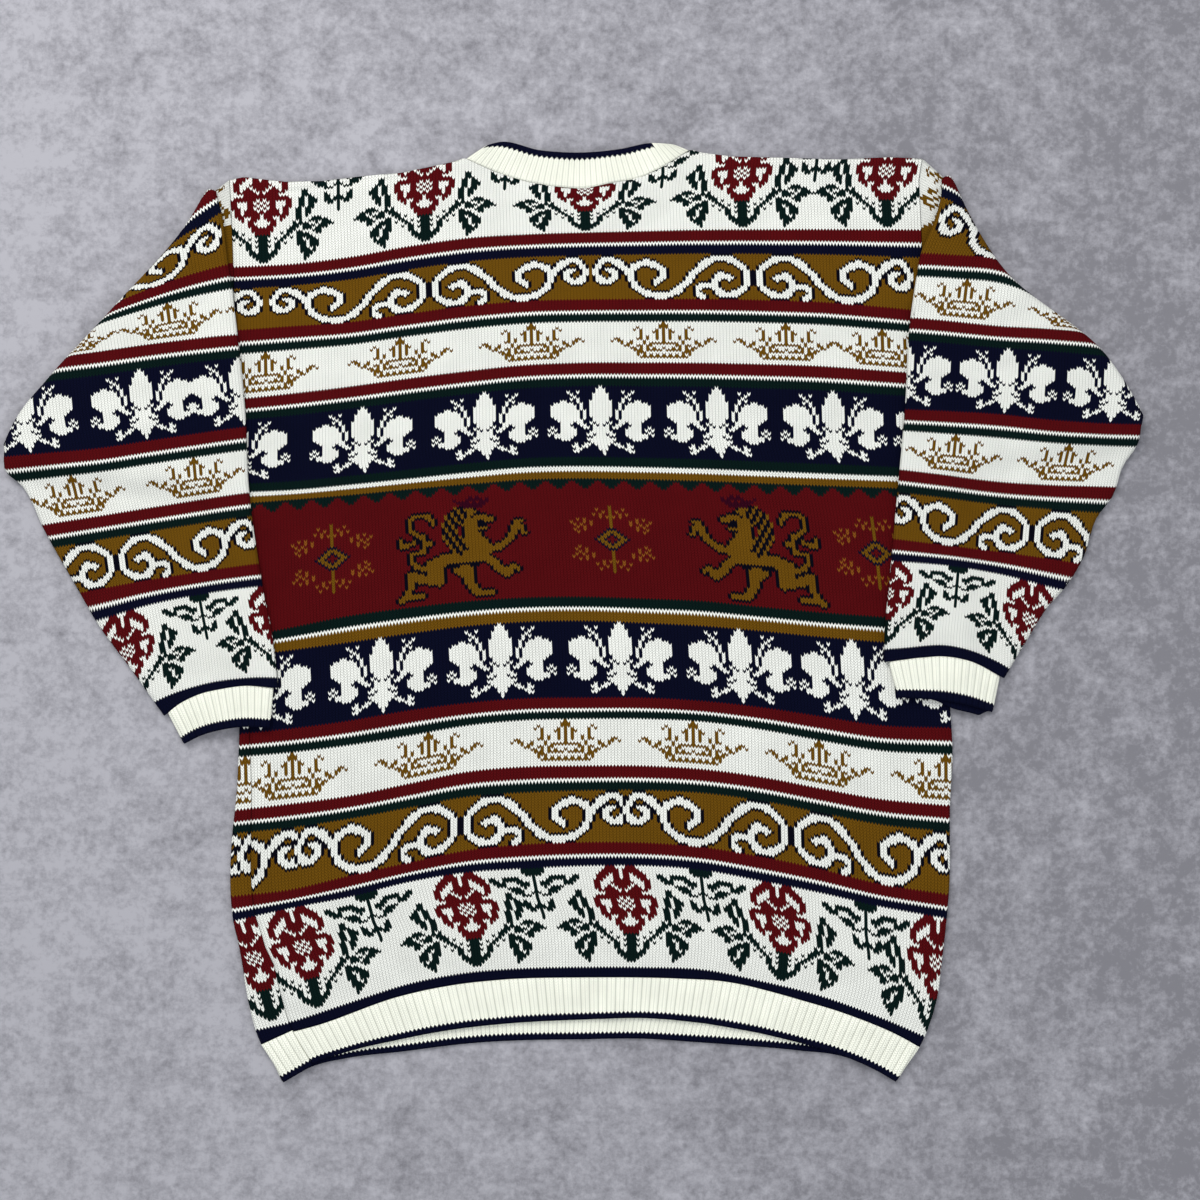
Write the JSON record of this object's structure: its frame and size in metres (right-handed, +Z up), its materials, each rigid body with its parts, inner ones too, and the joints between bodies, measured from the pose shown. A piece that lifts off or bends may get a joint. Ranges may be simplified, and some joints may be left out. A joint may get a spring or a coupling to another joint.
{
  "type": "pullover_sweater",
  "caption": "Wool pullover sweater laid flat with its back up and its sleeves folded over onto it, with a ribbed neckband, cuffs and hem.",
  "frame": {"origin": "on the surface that the sweater lies on, at the centre of its bounding box seen from above", "axes": "+X runs across the body from its left sleeve in the picture to its right one, +Y towards the neck, +Z up off the surface"},
  "size_m": [0.9689, 0.8002, 0.0128],
  "materials": {
    "patterned_knit": "soft wool stockinette with a coloured yarn pattern",
    "rib_knit": "soft plain wool rib"
  },
  "bodies": {
    "root": {"back_panel": "patterned_knit", "front_panel": "patterned_knit", "sleeve_left": "patterned_knit", "sleeve_right": "patterned_knit", "cuff_left": "rib_knit", "cuff_right": "rib_knit", "hem_rib_back": "rib_knit", "hem_rib_front": "rib_knit", "neckband": "rib_knit"}
  },
  "joints": []
}
